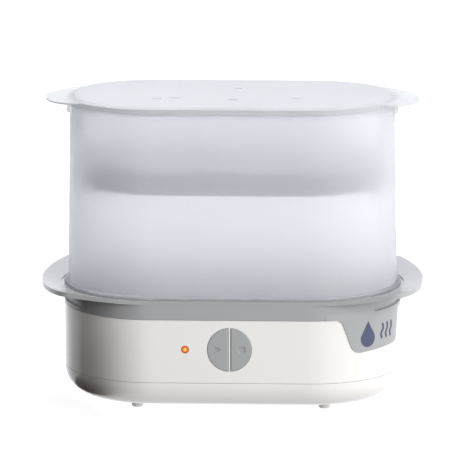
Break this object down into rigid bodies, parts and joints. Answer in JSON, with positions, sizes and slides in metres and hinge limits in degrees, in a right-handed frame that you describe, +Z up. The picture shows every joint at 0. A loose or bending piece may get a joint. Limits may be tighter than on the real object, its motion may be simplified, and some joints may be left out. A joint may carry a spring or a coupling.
{
  "type": "bottle sterilizer",
  "caption": "Oval electric steam steriliser: white base with a grey ear-handled collar, frosted chamber, frosted lid, removable trays and two push buttons.",
  "frame": {"origin": "centre of the bounding box on the surface that the feet stand on", "axes": "+Z up, the front panel with the buttons faces -Y, +X to the right along the length"},
  "size_m": [0.36, 0.1708, 0.2905],
  "materials": {
    "frosted_lid": "frosted translucent",
    "frosted_wall": "frosted translucent",
    "tray_grey": "satin",
    "collar_grey": "satin",
    "mark_blue": "printed",
    "housing_white": "gloss",
    "button_grey": "satin",
    "lens_orange": "translucent",
    "foot_rubber": "matt",
    "basin_white": "satin",
    "silicone": "matt",
    "steel": "brushed",
    "screw_steel": "plated",
    "cast_aluminium": "as cast",
    "element_steel": "heat tinted",
    "thermostat_black": "matt",
    "fuse_white": "sleeved",
    "board_green": "solder mask",
    "component_black": "matt",
    "component_blue": "satin",
    "led_clear": "clear",
    "connector_white": "satin",
    "lead_insulation": "matt",
    "lead_silicone": "matt",
    "gland_grey": "matt"
  },
  "bodies": {
    "base": {"badge_mark": "mark_blue", "basin": "basin_white", "basin_seal": "silicone", "board_screws": "screw_steel", "bottom_pan": "housing_white", "collar": "collar_grey", "collar_screws": "screw_steel", "control_board": "board_green", "cord_gland": "gland_grey", "foot_front_left": "foot_rubber", "foot_front_right": "foot_rubber", "foot_rear_left": "foot_rubber", "foot_rear_right": "foot_rubber", "heat_spreader": "cast_aluminium", "heater_connector": "connector_white", "heater_element": "element_steel", "heater_leads": "lead_silicone", "heating_plate": "steel", "housing_bosses": "housing_white", "indicator_led": "led_clear", "indicator_lens": "lens_orange", "pan_screws": "screw_steel", "plate_retainer": "steel", "plate_seal": "silicone", "relay": "component_blue", "retainer_screws": "screw_steel", "start_switch": "component_black", "stop_switch": "component_black", "supply_connector": "connector_white", "supply_leads": "lead_insulation", "terminal_block": "connector_white", "thermal_fuse": "fuse_white", "thermostat": "thermostat_black", "transformer": "component_black", "upper_housing": "housing_white"},
    "lid": {"lid": "frosted_lid"},
    "chamber": {"chamber": "frosted_wall"},
    "upper_tray": {"upper_tray": "tray_grey"},
    "lower_tray": {"lower_tray": "tray_grey"},
    "start_button": {"start_button": "button_grey"},
    "stop_button": {"stop_button": "button_grey"}
  },
  "joints": [
    {"name": "chamber_lift", "type": "slide", "parent": "base", "child": "chamber", "axis": [0, 0, 1], "range_m": [0, 0.2]},
    {"name": "lid_lift", "type": "slide", "parent": "chamber", "child": "lid", "axis": [0, 0, 1], "range_m": [0, 0.12]},
    {"name": "upper_tray_lift", "type": "slide", "parent": "chamber", "child": "upper_tray", "axis": [0, 0, 1], "range_m": [0, 0.045]},
    {"name": "lower_tray_lift", "type": "slide", "parent": "base", "child": "lower_tray", "axis": [0, 0, 1], "range_m": [0, 0.075]},
    {"name": "start_button_press", "type": "slide", "parent": "base", "child": "start_button", "axis": [0, 1, 0], "range_m": [0, 0.0015], "stiffness_N_per_m": 600},
    {"name": "stop_button_press", "type": "slide", "parent": "base", "child": "stop_button", "axis": [0, 1, 0], "range_m": [0, 0.0015], "stiffness_N_per_m": 600}
  ]
}
